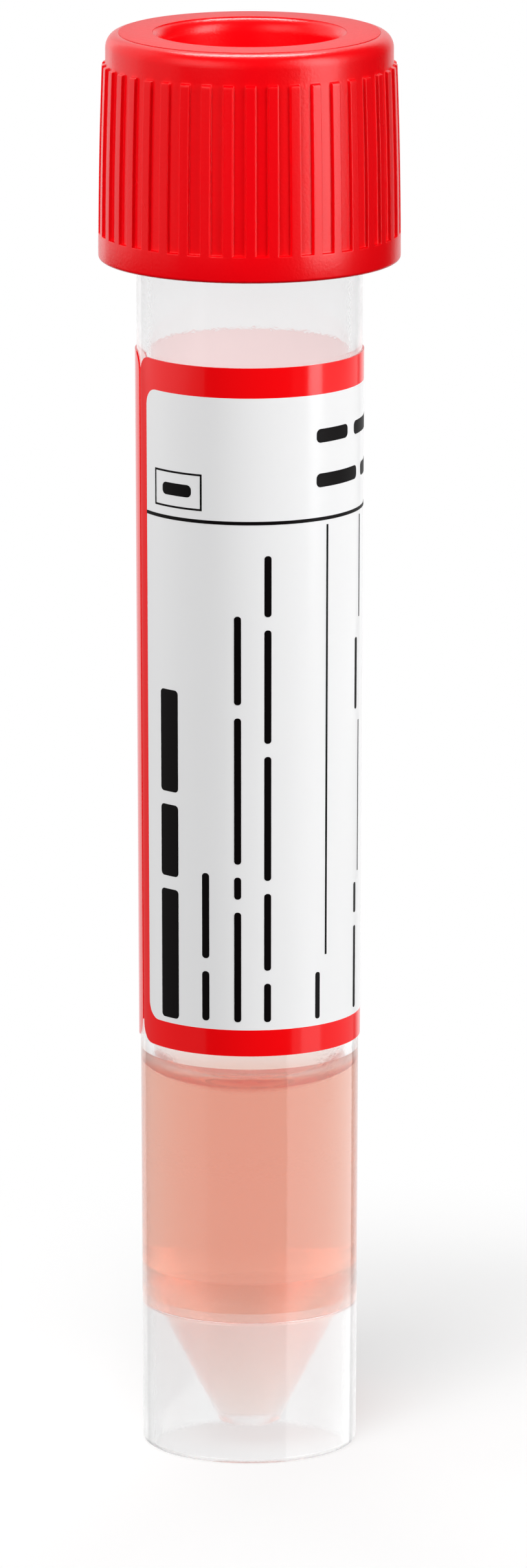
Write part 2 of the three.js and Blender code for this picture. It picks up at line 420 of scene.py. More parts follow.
def red_polypropylene():
    """Satin on the sides, with a spark-eroded grain on the flat ring around the recess."""
    s = Shader("red_polypropylene")
    skin = s.add("ShaderNodeBsdfPrincipled", {"IOR": PLASTIC_IOR})
    grain = s.group(GRAIN, {"Grain Scale": 5200, "Grain Height": 0.000012, "Flow Scale": 90})
    colour = ramp(s, grain.outputs["Flow"],
                  (NOISE_LOW, (0.86, 0.0, 0.003)), (NOISE_HIGH, (0.90, 0.0, 0.004)))
    place = s.add("ShaderNodeTexCoord")
    height = s.add("ShaderNodeSeparateXYZ")
    on_ring = s.add("ShaderNodeMapRange", {
        "From Min": (CAP_TOP_Z - PITTED_FROM) * MM, "From Max": (CAP_TOP_Z - PITTED_FULL) * MM})
    rough = noise_range(s, 0.25, 0.28)
    rougher = s.add("ShaderNodeMath", operation="MULTIPLY_ADD")
    rougher.inputs[1].default_value = PITTED_ROUGHENING
    pits = s.add("ShaderNodeTexNoise", {"Scale": 4200, "Detail": 2})
    pit_depth = s.add("ShaderNodeMath", operation="MULTIPLY")
    pitted = s.add("ShaderNodeBump", {"Distance": 0.00005})
    s.join(place.outputs["Object"], height.inputs["Vector"])
    s.join(height.outputs["Z"], on_ring.inputs["Value"])
    s.join(grain.outputs["Flow"], rough.inputs["Value"])
    s.join(on_ring.outputs["Result"], rougher.inputs[0])
    s.join(rough.outputs["Result"], rougher.inputs[2])
    s.join(place.outputs["Object"], pits.inputs["Vector"])
    s.join(pits.outputs["Fac"], pit_depth.inputs[0])
    s.join(on_ring.outputs["Result"], pit_depth.inputs[1])
    s.join(pit_depth.outputs["Value"], pitted.inputs["Height"])
    s.join(grain.outputs["Normal"], pitted.inputs["Normal"])
    s.join(colour, skin.inputs["Base Color"])
    s.join(rougher.outputs["Value"], skin.inputs["Roughness"])
    s.join(pitted.outputs["Normal"], skin.inputs["Normal"])
    s.join(skin.outputs["BSDF"], s.output.inputs["Surface"])
    return s.material


def lamp_side(s, tint, body):
    """Lets a share of the lamps' light, tinted, through to what is inside."""
    path = s.add("ShaderNodeLightPath")
    share = s.add("ShaderNodeMath", operation="MULTIPLY")
    share.inputs[1].default_value = LAMP_SHARE
    s.join(path.outputs["Is Shadow Ray"], share.inputs[0])
    clear = s.add("ShaderNodeBsdfTransparent", {"Color": (*tint, 1)})
    mix = s.add("ShaderNodeMixShader")
    s.join(share.outputs["Value"], mix.inputs["Fac"])
    s.join(body, mix.inputs[1])
    s.join(clear.outputs["BSDF"], mix.inputs[2])
    s.join(mix.outputs["Shader"], s.output.inputs["Surface"])


def natural_polypropylene(name, clearness, tint, roughness, glow=0.0):
    """Uncoloured plastic, from milky to nearly clear by the share of light that goes straight on.

    Roughness is given at the cone and in the body, and fades from one to the other. Glow stands
    for the light that the wall scatters from behind."""
    s = Shader(name)
    # The glow is painted light: the plastic gives off a little white light of its own.
    skin = s.add("ShaderNodeBsdfPrincipled", {
        "IOR": PLASTIC_IOR, "Transmission Weight": clearness,
        "Emission Color": (1, 1, 1, 1), "Emission Strength": glow})
    grain = s.group(GRAIN, {"Grain Scale": 3600, "Grain Height": 0.000006, "Flow Scale": 70})
    lighter = tuple(c + TINT_SPREAD for c in tint)
    colour = ramp(s, grain.outputs["Flow"], (NOISE_LOW, tint), (NOISE_HIGH, lighter))
    place = s.add("ShaderNodeTexCoord")
    height = s.add("ShaderNodeSeparateXYZ")
    rough = s.add("ShaderNodeMapRange", {
        "From Min": CONE_TOP * MM, "From Max": (CONE_TOP + POLISH_FADE) * MM,
        "To Min": roughness[0], "To Max": roughness[1]}, interpolation_type="SMOOTHSTEP")
    s.join(place.outputs["Object"], height.inputs["Vector"])
    s.join(height.outputs["Z"], rough.inputs["Value"])
    s.join(colour, skin.inputs["Base Color"])
    s.join(rough.outputs["Result"], skin.inputs["Roughness"])
    s.join(grain.outputs["Normal"], skin.inputs["Normal"])
    lamp_side(s, (0.985, 0.985, 0.985), skin.outputs["BSDF"])
    return s.material


def pink_medium():
    """A clear liquid whose colour deepens with the way that light goes through it."""
    s = Shader("pink_medium")
    liquid = s.add("ShaderNodeBsdfPrincipled", {
        "Base Color": (0.995, 0.99, 0.985, 1), "Roughness": 0.0, "IOR": MEDIUM_IOR,
        "Transmission Weight": 1.0})
    depth = s.add("ShaderNodeVolumeAbsorption", {
        "Color": (0.936, 0.312, 0.02, 1), "Density": 124.0})
    s.join(depth.outputs["Volume"], s.output.inputs["Volume"])
    lamp_side(s, (0.97, 0.8, 0.74), liquid.outputs["BSDF"])
    return s.material


def printed_film(name, base, roughness, mottle, glow=0.0, gloss=0.5):
    """Label stock or ink with a faint unevenness in colour and gloss.

    Glow stands for the light that soaks through the film to its back."""
    s = Shader(name)
    film = s.add("ShaderNodeBsdfPrincipled", {
        "IOR": FILM_IOR, "Specular IOR Level": gloss, "Emission Strength": glow})
    grain = s.group(GRAIN, {"Grain Scale": 1500, "Grain Height": 0.000002, "Flow Scale": 180})
    darker = tuple(c * (1 - mottle) for c in base)
    colour = ramp(s, grain.outputs["Flow"], (NOISE_LOW, darker), (NOISE_HIGH, base))
    s.join(colour, film.inputs["Base Color"])
    # Painted light: with a glow, the film gives off light in its own colour.
    if glow:
        s.join(colour, film.inputs["Emission Color"])
    rough = noise_range(s, roughness, roughness + FILM_ROUGHNESS_SPREAD)
    s.join(grain.outputs["Flow"], rough.inputs["Value"])
    s.join(rough.outputs["Result"], film.inputs["Roughness"])
    s.join(grain.outputs["Normal"], film.inputs["Normal"])
    s.join(film.outputs["BSDF"], s.output.inputs["Surface"])
    return s.material


RED_PP = red_polypropylene()
# Both plastics glow a little: painted light for the light their walls scatter from behind.
CLEAR_PP = natural_polypropylene(
    "clear_polypropylene", 0.97, (0.902, 0.905, 0.908), (0.20, 0.04), glow=0.025)
MILKY_PP = natural_polypropylene(
    "milky_polypropylene", 0.80, (0.925, 0.927, 0.93), (0.11, 0.11), glow=0.06)
MEDIUM = pink_medium()
RED_INK = printed_film("red_ink", (0.96, 0.002, 0.004), 0.12, 0.02)
WHITE_FILM = printed_film("white_film", (0.89, 0.89, 0.895), 0.2, 0.015)
# The back of the film glows: painted light, in its own pale pink, for the light that soaks through
# the film.
BACK_OF_FILM = printed_film("back_of_film", (0.243, 0.190, 0.188), 0.4, 0.02, glow=3.0)
BLACK_INK = printed_film("black_ink", (0.003, 0.002, 0.0022), 0.42, 0.2, gloss=0.15)


# ---- Tube -----------------------------------------------------------------------------------

CROTCH_RADIUS = inner_radius_at(CONE_TOP)
CONE_SLOPE = (CROTCH_RADIUS - TIP_RADIUS) / (CONE_TOP - TIP_HEIGHT)
CONE_SKEW = TUBE_WALL * math.hypot(1, CONE_SLOPE)
WELL_FLOOR = TIP_HEIGHT + TUBE_WALL
BODY_SLOPE = (NECK_RADIUS - BASE_RADIUS) / CAP_HEM_Z


def well_radius_at(z):
    """Inside radius of the cone, one wall in from its outside."""
    return TIP_RADIUS + CONE_SLOPE * (z - TIP_HEIGHT) - CONE_SKEW


WELL_RIM = (BASE_RADIUS - TUBE_WALL - well_radius_at(0)) / (CONE_SLOPE - BODY_SLOPE)


def make_tube():
    """The moulded tube with its neck thread: clear plastic, milky on the skirt."""
    lowest_turn = NECK_THREAD_TOP - THREAD_PITCH * NECK_THREAD_TURNS
    neck_rows = evenly(
        lowest_turn - THREAD_PITCH / 2, TUBE_HEIGHT - 2 * MOUTH_ROUND, NECK_ROW_SPACING)
    points = outline(
        (0, TIP_HEIGHT),
        (TIP_RADIUS, TIP_HEIGHT, TIP_ROUND),
        (CROTCH_RADIUS, CONE_TOP, CROTCH_ROUND),
        (inner_radius_at(0), 0, FOOT_ROUND),
        (BASE_RADIUS, 0, FOOT_ROUND),
        (body_radius_at(CONE_TOP), CONE_TOP),
        (NECK_RADIUS, CAP_HEM_Z),
        *((NECK_RADIUS, z) for z in neck_rows),
        (NECK_RADIUS, TUBE_HEIGHT, MOUTH_ROUND),
        (NECK_RADIUS - TUBE_WALL, TUBE_HEIGHT, MOUTH_ROUND),
        (NECK_RADIUS - TUBE_WALL, CAP_HEM_Z),
        (inner_radius_at(WELL_RIM), WELL_RIM, WELL_RIM_ROUND),
        (well_radius_at(WELL_FLOOR), WELL_FLOOR, TIP_ROUND / 2),
        (0, WELL_FLOOR))

    def with_thread(row, azimuth):
        on_neck = row[0] > NECK_RADIUS - 0.001 and row[1] > CAP_HEM_Z
        if not on_neck:
            return row[0]
        return row[0] + thread_height(
            azimuth, row[1], lowest_turn, NECK_THREAD_TURNS, NECK_THREAD_DEPTH)

    tube = turned("moulded_tube", points, CLEAR_PP, shape=with_thread)
    tube.data.materials.append(MILKY_PP)
    for face in tube.data.polygons:
        low = face.center.z / MM < CONE_TOP - CROTCH_ROUND
        radius = math.hypot(face.center.x, face.center.y) / MM
        on_skirt = radius > inner_radius_at(0) - SKIRT_MARGIN
        face.material_index = 1 if low and on_skirt else 0
    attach(tube, "tube_body")
    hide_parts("tube")
    tube.visible_diffuse = False
    return tube


# ---- Transport medium -----------------------------------------------------------------------


def meniscus(wall):
    """The surface of a liquid that wets its wall: rows of (radius, rise) from the wall inwards."""
    lead = 2 * math.cos(WALL_SLOPE / 2)
    tail = 4 * CAPILLARY_LENGTH * math.tan(WALL_SLOPE / 4) * math.exp(lead - 2)
    rows = []
    for slope in WALL_SLOPE * np.linspace(1, 0.02, 48) ** 1.5:
        spread = (math.log(math.tan(WALL_SLOPE / 4) / math.tan(slope / 4))
                  + lead - 2 * math.cos(slope / 2))
        radius = wall - CAPILLARY_LENGTH * spread
        if radius < 0.2 * wall:
            break
        far_wall = tail * math.exp(-(wall + radius) / CAPILLARY_LENGTH)
        rows.append((radius, 2 * CAPILLARY_LENGTH * math.sin(slope / 2) + far_wall))
    for radius in (0.14 * wall, 0.07 * wall, 0):
        near = math.exp(-(wall - radius) / CAPILLARY_LENGTH)
        far = math.exp(-(wall + radius) / CAPILLARY_LENGTH)
        rows.append((radius, tail * (near + far)))
    return rows


def make_medium():
    """The liquid, which overlaps the wall by a hair so that no film of air lies between."""
    level = FILL_HEIGHT - LEVEL_DROP
    surface = [(r, level + rise) for r, rise in meniscus(inner_radius_at(level) + WETTED_OVERLAP)]
    points = outline(
        (0, WELL_FLOOR - WETTED_OVERLAP),
        (well_radius_at(WELL_FLOOR), WELL_FLOOR - WETTED_OVERLAP, TIP_ROUND / 2),
        (inner_radius_at(WELL_RIM) + WETTED_OVERLAP, WELL_RIM - WETTED_OVERLAP, WELL_RIM_ROUND),
        *surface)
    medium = turned("liquid_medium", points, MEDIUM)
    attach(medium, "tube_body")
    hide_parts("transport_medium")
    medium.visible_diffuse = False


# ---- Screw cap ------------------------------------------------------------------------------


def crest_radius_at(z):
    """The ribs' crests lean in along a shallow curve from the hem to the rib tops."""
    share = (min(z, RIB_TOP_Z) - CAP_HEM_Z) / (RIB_TOP_Z - CAP_HEM_Z)
    return HEM_RADIUS - CAP_BARREL * share ** 2


def rib_section():
    """Half a rib and half a groove as (arc length from the rib's middle, share of full height)."""
    half = RIB_WIDTH / 2
    crest = [(half - RIB_CREST_ROUND * (1 - math.sin(a)),
              1 - RIB_CREST_ROUND * (1 - math.cos(a)) / RIB_DEPTH)
             for a in np.radians((0, 30, 60, 80))]
    floor_edge = half + RIB_DRAFT + RIB_FOOT_ROUND
    foot = [(floor_edge - RIB_FOOT_ROUND * math.sin(a),
             RIB_FOOT_ROUND * (1 - math.cos(a)) / RIB_DEPTH)
            for a in np.radians((80, 40, 0))]
    return [(0, 1), (half - 1.5 * RIB_CREST_ROUND, 1), *crest, *foot, (floor_edge + 0.02, 0)]


def sector_stations():
    """One pitch of the cap, from the middle of one groove to the next: (azimuth, rib share)."""
    pitch = 2 * math.pi / RIB_COUNT
    right = [(arc / crest_radius_at(RIB_FOOT_Z), share) for arc, share in rib_section()]
    left = [(-azimuth, share) for azimuth, share in reversed(right[1:])]
    return [(-pitch / 2, 0), *left, *right, (pitch / 2, 0)]


def shoulder():
    """The rounded shoulder, then the small step up to the flat ring."""
    side = crest_radius_at(RIB_TOP_Z) - RIB_DEPTH
    crease = side - SHOULDER_REACH
    low = CAP_TOP_Z - PAD_RISE
    arc = [(crease + SHOULDER_REACH * math.cos(a),
            low - (SHOULDER_DROP - PAD_RISE) * (1 - math.sin(a)))
           for a in np.linspace(0, math.pi / 2, 11)]
    return [*arc, *((crease - inwards, CAP_TOP_Z - drop) for inwards, drop in PAD_EDGE)]


def recess_mouth(recess_radius):
    """The flare from the flat ring down into the recess: a crisp edge, then ever steeper."""
    lip = CAP_TOP_Z - LIP_STEP
    return [(recess_radius + FLARE_WIDTH * (1 - math.sin(a)) / (1 - math.sin(FLARE_EDGE)),
             lip - (FLARE_DEPTH - LIP_STEP) * (1 - math.cos(a) / math.cos(FLARE_EDGE)))
            for a in np.linspace(FLARE_EDGE, math.pi / 2, 10)[1:]]


def cap_rows():
    """The cap's section as rows of (radius, height, share of the groove's depth, share of the
    rib's height), walked outwards and up."""
    recess_floor = CAP_TOP_Z - RECESS_DEPTH
    recess_radius = PLUG_RADIUS - PLUG_WALL
    plug_end = recess_floor - PLUG_FLOOR
    plug_tip = PLUG_RADIUS - PLUG_TAPER
    bore_rows = evenly(
        UNDERSIDE_Z - 2 * BORE_ROUND, CAP_HEM_Z + BORE_LEAD_IN, -BORE_ROW_SPACING)
    below_ribs = RIB_FOOT_Z - 0.12
    inside = outline(
        (0, plug_end),
        (plug_tip, plug_end, PLUG_ROUND),
        (PLUG_RADIUS, UNDERSIDE_Z - PLUG_FILLET),
        (PLUG_RADIUS + PLUG_FILLET, UNDERSIDE_Z),
        (BORE_RADIUS, UNDERSIDE_Z, BORE_ROUND),
        *((BORE_RADIUS, z) for z in bore_rows),
        (BORE_RADIUS + BORE_LEAD_IN, CAP_HEM_Z),
        (HEM_RADIUS, CAP_HEM_Z, HEM_ROUND),
        (crest_radius_at(below_ribs), below_ribs), steps=4)
    foot = [(RIB_FOOT_Z + rise, sunk, 1) for rise, sunk in RIB_FOOT_ROWS]
    side = [(z, 1, 1) for z in evenly(RIB_FOOT_Z + 1, RIB_TOP_Z - 1, 1.6)]
    ends = [(RIB_TOP_Z - drop, 1, height) for drop, height in RIB_END_ROWS]
    ribs = [(crest_radius_at(z), z, sunk, height) for z, sunk, height in (*foot, *side, *ends)]
    top = outline(
        *shoulder(),
        (recess_radius + FLARE_WIDTH + LIP_WIDTH, CAP_TOP_Z),
        (recess_radius + FLARE_WIDTH, CAP_TOP_Z - LIP_STEP),
        *recess_mouth(recess_radius),
        (plug_tip - PLUG_WALL, recess_floor, PLUG_ROUND),
        (0, recess_floor), steps=7)
    return [*((*p, 0, 0) for p in inside), *ribs, *((*p, 0, 0) for p in top)]


def cap_radius(row, rib_share):
    """A row's radius at a station: in the rib zone, grooves are sunk between the ribs."""
    radius, _, sunk, height = row
    return radius - RIB_DEPTH * sunk * (1 - rib_share * height)


def cap_sector(material):
    """One pitch of the cap as a thin wedge, open on its two cut sides."""
    rows = cap_rows()
    stations = sector_stations()
    width = len(stations)
    vertices = [around(cap_radius(row, share), azimuth, row[1])
                for row in rows for azimuth, share in stations]
    faces = [(r * width + k, r * width + k + 1, (r + 1) * width + k + 1, (r + 1) * width + k)
             for r in range(len(rows) - 1) for k in range(width - 1)]
    return new_piece("cap_sector", vertices, faces, material, sharp=50)


def repeat_around():
    """Geometry node tree: turns copies of its geometry about Z and welds them into one."""
    tree = bpy.data.node_groups.new("repeat_around", "GeometryNodeTree")
    face = tree.interface
    face.new_socket("Geometry", in_out="INPUT", socket_type="NodeSocketGeometry")
    count = face.new_socket("Count", in_out="INPUT", socket_type="NodeSocketInt")
    weld = face.new_socket("Weld Distance", in_out="INPUT", socket_type="NodeSocketFloat")
    turn = face.new_socket("First Turn", in_out="INPUT", socket_type="NodeSocketFloat")
    finish = face.new_socket("Material", in_out="INPUT", socket_type="NodeSocketMaterial")
    face.new_socket("Geometry", in_out="OUTPUT", socket_type="NodeSocketGeometry")
    nodes, links = tree.nodes, tree.links
    source, sink = nodes.new("NodeGroupInput"), nodes.new("NodeGroupOutput")
    points = nodes.new("GeometryNodePoints")
    index = nodes.new("GeometryNodeInputIndex")
    share = nodes.new("ShaderNodeMath")
    share.operation = "DIVIDE"
    angle = nodes.new("ShaderNodeMath")
    angle.operation = "MULTIPLY_ADD"
    angle.inputs[1].default_value = 2 * math.pi
    about_z = nodes.new("ShaderNodeCombineXYZ")
    rotation = nodes.new("FunctionNodeEulerToRotation")
    copies = nodes.new("GeometryNodeInstanceOnPoints")
    real = nodes.new("GeometryNodeRealizeInstances")
    merged = nodes.new("GeometryNodeMergeByDistance")
    coated = nodes.new("GeometryNodeSetMaterial")
    links.new(source.outputs["Count"], points.inputs["Count"])
    links.new(index.outputs["Index"], share.inputs[0])
    links.new(source.outputs["Count"], share.inputs[1])
    links.new(share.outputs["Value"], angle.inputs[0])
    links.new(source.outputs["First Turn"], angle.inputs[2])
    links.new(angle.outputs["Value"], about_z.inputs["Z"])
    links.new(about_z.outputs["Vector"], rotation.inputs["Euler"])
    links.new(points.outputs["Points"], copies.inputs["Points"])
    links.new(source.outputs["Geometry"], copies.inputs["Instance"])
    links.new(rotation.outputs["Rotation"], copies.inputs["Rotation"])
    links.new(copies.outputs["Instances"], real.inputs["Geometry"])
    links.new(real.outputs["Geometry"], merged.inputs["Geometry"])
    links.new(source.outputs["Weld Distance"], merged.inputs["Distance"])
    links.new(merged.outputs["Geometry"], coated.inputs["Geometry"])
    links.new(source.outputs["Material"], coated.inputs["Material"])
    links.new(coated.outputs["Geometry"], sink.inputs["Geometry"])
    return tree, {"count": count.identifier, "weld": weld.identifier,
                  "turn": turn.identifier, "material": finish.identifier}


def raise_cap_thread(mesh):
    """Raises the thread's ridge on the cap's bore, between the turns of the neck's thread."""
    lowest = NECK_THREAD_TOP - THREAD_PITCH * NECK_THREAD_TURNS - THREAD_PITCH / 2
    for vertex in mesh.vertices:
        radius = math.hypot(vertex.co.x, vertex.co.y) / MM
        if abs(radius - BORE_RADIUS) > 0.01:
            continue
        azimuth = math.atan2(vertex.co.x, -vertex.co.y)
        height = thread_height(
            azimuth, vertex.co.z / MM, lowest, CAP_THREAD_TURNS, CAP_THREAD_DEPTH)
        scale = (radius - height) / radius
        vertex.co.x *= scale
        vertex.co.y *= scale


def make_cap():
    """The cap: one rib's sector repeated round the axis, then the thread on its bore."""
    cap = cap_sector(RED_PP)
    cap.name = "ribbed_cap"
    tree, sockets = repeat_around()
    ring = cap.modifiers.new("repeat_around", "NODES")
    ring.node_group = tree
    ring[sockets["count"]] = RIB_COUNT
    ring[sockets["weld"]] = WELD_DISTANCE * MM
    ring[sockets["turn"]] = RIB_TURN
    ring[sockets["material"]] = RED_PP
    graph = bpy.context.evaluated_depsgraph_get()
    whole = bpy.data.meshes.new_from_object(cap.evaluated_get(graph))
    cap.modifiers.clear()
    cap.data = whole
    raise_cap_thread(whole)
    whole.shade_smooth()
    whole.set_sharp_from_angle(angle=math.radians(50))
    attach(cap, "cap")
    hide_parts("screw_cap")
    return cap


# ---- Label ----------------------------------------------------------------------------------

LABEL_RADIUS = body_radius_at((LABEL_BOTTOM + LABEL_TOP) / 2) + LABEL_FILM
LABEL_LENGTH = 2 * math.pi * LABEL_RADIUS - LABEL_SEAM_GAP
FILM_LEFT = LABEL_SEAM * LABEL_RADIUS + LABEL_SEAM_GAP / 2
FILM_RIGHT = FILM_LEFT + LABEL_LENGTH
PANEL_LEFT = FILM_LEFT + PANEL_LEFT_MARGIN
PANEL_RIGHT = FILM_RIGHT - PANEL_RIGHT_MARGIN
PANEL_BOTTOM = LABEL_BOTTOM + PANEL_BOTTOM_MARGIN
PANEL_TOP = LABEL_TOP - PANEL_TOP_MARGIN


def on_body(along, z, lift):
    """A point on the tube's body: along is the arc from the front, lift is above the surface."""
    return around(body_radius_at(z) + lift, along / LABEL_RADIUS, z)


def corner_cut(along, left, right, rounding):
    """How far a rounded rectangle's top and bottom edges are drawn in at a place along it."""
    inset = rounding - min(along - left, right - along)
    if inset <= 0:
        return 0.0
    return rounding - math.sqrt(max(rounding ** 2 - min(inset, rounding) ** 2, 0))


def columns_of(left, right, rounding):
    """Places across a rounded rectangle, closer together in its corners."""
    inset = [rounding * (1 - math.cos(a)) for a in np.linspace(0, math.pi / 2, 9)]
    middle = evenly(left + rounding, right - rounding, COLUMN_SPACING)
    return [*(left + d for d in inset[:-1]), *middle, *(right - d for d in reversed(inset[:-1]))]


def make_label():
    """The film round the body: a red border, a white panel, and a back seen through the tube."""
    columns = sorted({round(x, 5) for x in (
        *columns_of(FILM_LEFT, FILM_RIGHT, LABEL_CORNER),
        *columns_of(PANEL_LEFT, PANEL_RIGHT, PANEL_CORNER))})
    vertices, faces, finishes = [], [], []
    for along in columns:
        cut = corner_cut(along, FILM_LEFT, FILM_RIGHT, LABEL_CORNER)
        in_panel = min(max(along, PANEL_LEFT), PANEL_RIGHT)
        notch = corner_cut(in_panel, PANEL_LEFT, PANEL_RIGHT, PANEL_CORNER)
        heights = (LABEL_BOTTOM + cut, PANEL_BOTTOM + notch, PANEL_TOP - notch, LABEL_TOP - cut)
        vertices += [on_body(along, z, LABEL_FILM) for z in heights]
        vertices += [on_body(along, z, -LABEL_SINK) for z in reversed(heights)]
    for k in range(len(columns) - 1):
        white = PANEL_LEFT - 1e-4 < columns[k] and columns[k + 1] < PANEL_RIGHT + 1e-4
        for i in range(8):
            here, above = 8 * k + i, 8 * k + (i + 1) % 8
            faces.append((here, here + 8, above + 8, above))
            on_panel = white and i == 1
            finishes.append((1 if on_panel else 0) if i < 4 else 2)
    last = 8 * (len(columns) - 1)
    faces += [tuple(range(7, -1, -1)), tuple(range(last, last + 8))]
    finishes += [0, 0]
    label = new_piece("label_film", vertices, faces, RED_INK)
    for finish in (WHITE_FILM, BACK_OF_FILM):
        label.data.materials.append(finish)
    for face, finish in zip(label.data.polygons, finishes):
        face.material_index = finish
    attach(label, "tube_body")
    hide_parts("label")


def make_print():
    """The print as raised bars and rules, with no lettering."""
    vertices, faces = [], []

    def bar(left, right, low, high, rounding=0.0):
        """A slightly raised bar of ink with rounded corners."""
        columns = (columns_of(left, right, rounding) if rounding
                   else evenly(left, right, COLUMN_SPACING))
        base = len(vertices)
        for along in columns:
            cut = corner_cut(along, left, right, rounding)
            bottom, top = low + cut, high - cut
            for z, lift in ((bottom, 0), (bottom, INK_LIFT), (top, INK_LIFT), (top, 0)):
                vertices.append(on_body(along, z, LABEL_FILM + lift))
        for k in range(len(columns) - 1):
            for i in range(4):
                here, above = base + 4 * k + i, base + 4 * k + (i + 1) % 4
                faces.append((here, here + 4, above + 4, above))
        last = base + 4 * (len(columns) - 1)
        faces.append((base + 3, base + 2, base + 1, base))
        faces.append((last, last + 1, last + 2, last + 3))

    def frame_box(left, right, low, high, stroke):
        bar(left, left + stroke, low, high)
        bar(right - stroke, right, low, high)
        bar(left + stroke, right - stroke, low, low + stroke)
        bar(left + stroke, right - stroke, high - stroke, high)

    bar(PANEL_LEFT, PANEL_RIGHT, *CROSS_RULE)
    frame_box(*SMALL_BOX, SMALL_BOX_STROKE)
    bar(*SMALL_BOX_WORD, SHORT_WORD_ROUND)
    for left, right, low, words in WORD_LINES:
        rounding = min(WORD_ROUND, 0.45 * (right - left))
        z = low
        for word in words:
            bar(left, right, z, z + word, rounding)
            z += word + WORD_GAP
    for along, low, high in WRITE_IN_LINES:
        bar(along - WRITE_IN_HALF_WIDTH, along + WRITE_IN_HALF_WIDTH, low, high)
    for low, high, words in ROUND_LINES:
        along = ROUND_LINES_LEFT
        for word in words:
            bar(along, along + word, low, high, SHORT_WORD_ROUND)
            along += word + WORD_GAP
    marks = new_piece("label_print", vertices, faces, BLACK_INK)
    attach(marks, "tube_body")


# ---- Studio ---------------------------------------------------------------------------------


def straight_view(tree):
    """1 for what is seen directly or through clear plastic, 0 for light on its way to a surface."""
    path = tree.nodes.new("ShaderNodeLightPath")
    seen = tree.nodes.new("ShaderNodeMath")
    seen.operation = "MAXIMUM"
    tree.links.new(path.outputs["Is Camera Ray"], seen.inputs[0])
    tree.links.new(path.outputs["Transmission Depth"], seen.inputs[1])
    unscattered = tree.nodes.new("ShaderNodeMath")
    unscattered.operation = "LESS_THAN"
    unscattered.inputs[1].default_value = 0.5
    tree.links.new(path.outputs["Diffuse Depth"], unscattered.inputs[0])
    both = tree.nodes.new("ShaderNodeMath")
    both.operation = "MULTIPLY"
    both.use_clamp = True
    tree.links.new(seen.outputs["Value"], both.inputs[0])
    tree.links.new(unscattered.outputs["Value"], both.inputs[1])
    return both.outputs["Value"]


def make_world():
    """White behind the object and dark in front of it, as in a studio with a sweep."""
    world = bpy.data.worlds.new("studio")
    bpy.context.scene.world = world
    world.use_nodes = True
    tree = world.node_tree
    nodes, links = tree.nodes, tree.links
    background = nodes["Background"]
    background.inputs["Color"].default_value = (1, 1, 1, 1)
    place = nodes.new("ShaderNodeTexCoord")
    parts = nodes.new("ShaderNodeSeparateXYZ")
    front = nodes.new("ShaderNodeMath")
    front.operation = "MULTIPLY"
    front.inputs[1].default_value = -1.0
    azimuth = nodes.new("ShaderNodeMath")
    azimuth.operation = "ARCTAN2"
    turn = nodes.new("ShaderNodeMapRange")
    turn.inputs["From Min"].default_value = -math.pi
    turn.inputs["From Max"].default_value = math.pi
    sweep = nodes.new("ShaderNodeValToRGB")
    elements = sweep.color_ramp.elements
    while len(elements) < len(SWEEP_TONES):
        elements.new(0.5)
    for element, (degrees, tone) in zip(elements, SWEEP_TONES):
        element.position = 0.5 + degrees / 360
        element.color = (tone, tone, tone, 1)
    in_view = nodes.new("ShaderNodeMix")
    in_view.inputs["B"].default_value = 1.0
    links.new(place.outputs["Generated"], parts.inputs["Vector"])
    links.new(parts.outputs["Y"], front.inputs[0])
    links.new(parts.outputs["X"], azimuth.inputs[0])
    links.new(front.outputs["Value"], azimuth.inputs[1])
    links.new(azimuth.outputs["Value"], turn.inputs["Value"])
    links.new(turn.outputs["Result"], sweep.inputs["Fac"])
    links.new(sweep.outputs["Color"], in_view.inputs["A"])
    links.new(straight_view(tree), in_view.inputs["Factor"])
    links.new(in_view.outputs["Result"], background.inputs["Strength"])


